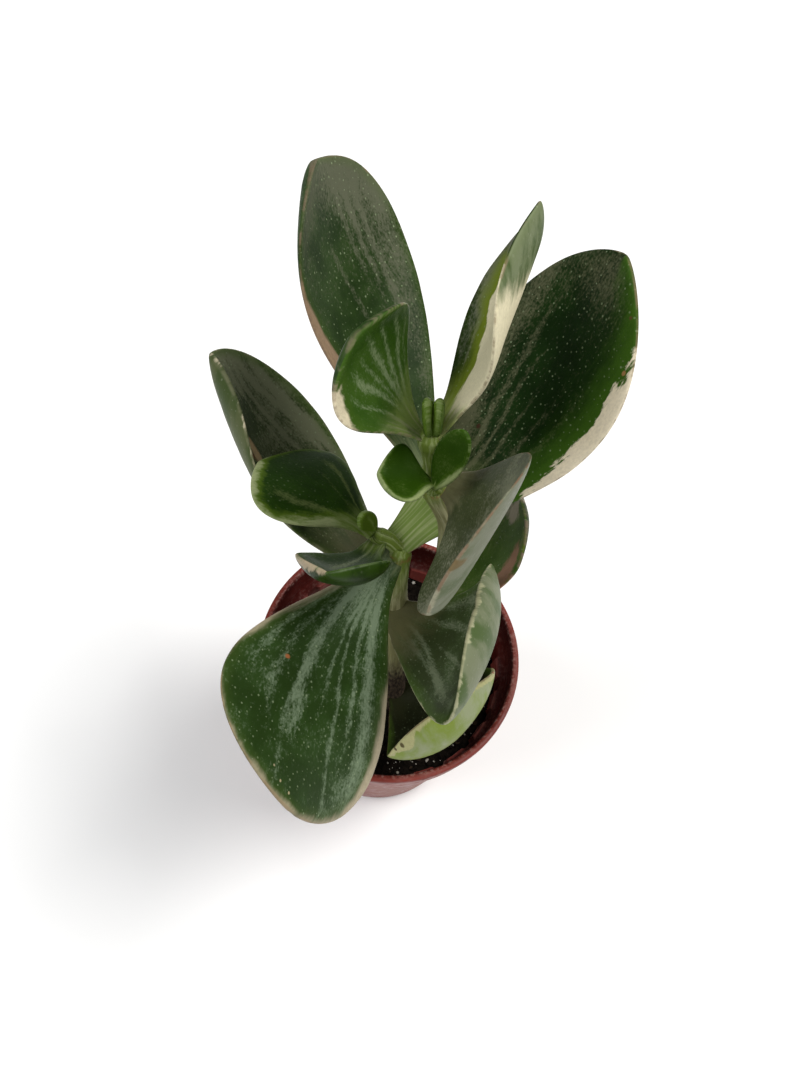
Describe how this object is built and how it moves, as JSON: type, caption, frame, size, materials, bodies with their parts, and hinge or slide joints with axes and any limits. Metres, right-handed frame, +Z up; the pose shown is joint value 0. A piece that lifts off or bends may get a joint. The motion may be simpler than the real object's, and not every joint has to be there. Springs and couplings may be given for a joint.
{
  "type": "potted jade plant",
  "caption": "Small potted jade plant: forked succulent stem with thick cream-edged green leaves, rooted in dark soil in a thin round plastic nursery pot.",
  "frame": {"origin": "middle of the pot's flat foot, on the surface that the pot stands on", "axes": "+Z up along the pot's axis; -Y towards the viewer of the picture; +X to the viewer's right"},
  "size_m": [0.0652, 0.0871, 0.149],
  "materials": {
    "pot_plastic": "thin terracotta-red plastic, satin and dusty",
    "soil": "damp dark potting mix with white perlite grains",
    "stem": "pale green succulent stem, brown and corky at the foot",
    "leaf": "waxy dark green leaf with silver streaks, white dots and cream edges",
    "young_leaf": "waxy fresh green young leaf with a thin pale edge"
  },
  "bodies": {
    "root": {"pot": "pot_plastic", "soil": "soil", "main_stem": "stem", "leaf_soil_front_right": "leaf", "leaf_front_right": "leaf", "leaf_left": "leaf", "leaf_front_left": "leaf", "leaf_right": "leaf", "leaf_side_front": "leaf", "leaf_side_left": "leaf", "leaf_low_right": "leaf", "leaf_back_left": "leaf", "leaf_front": "leaf", "leaf_shoot_left": "young_leaf", "leaf_shoot_right": "young_leaf", "leaf_top_left": "leaf", "leaf_top_right": "leaf"}
  },
  "joints": []
}
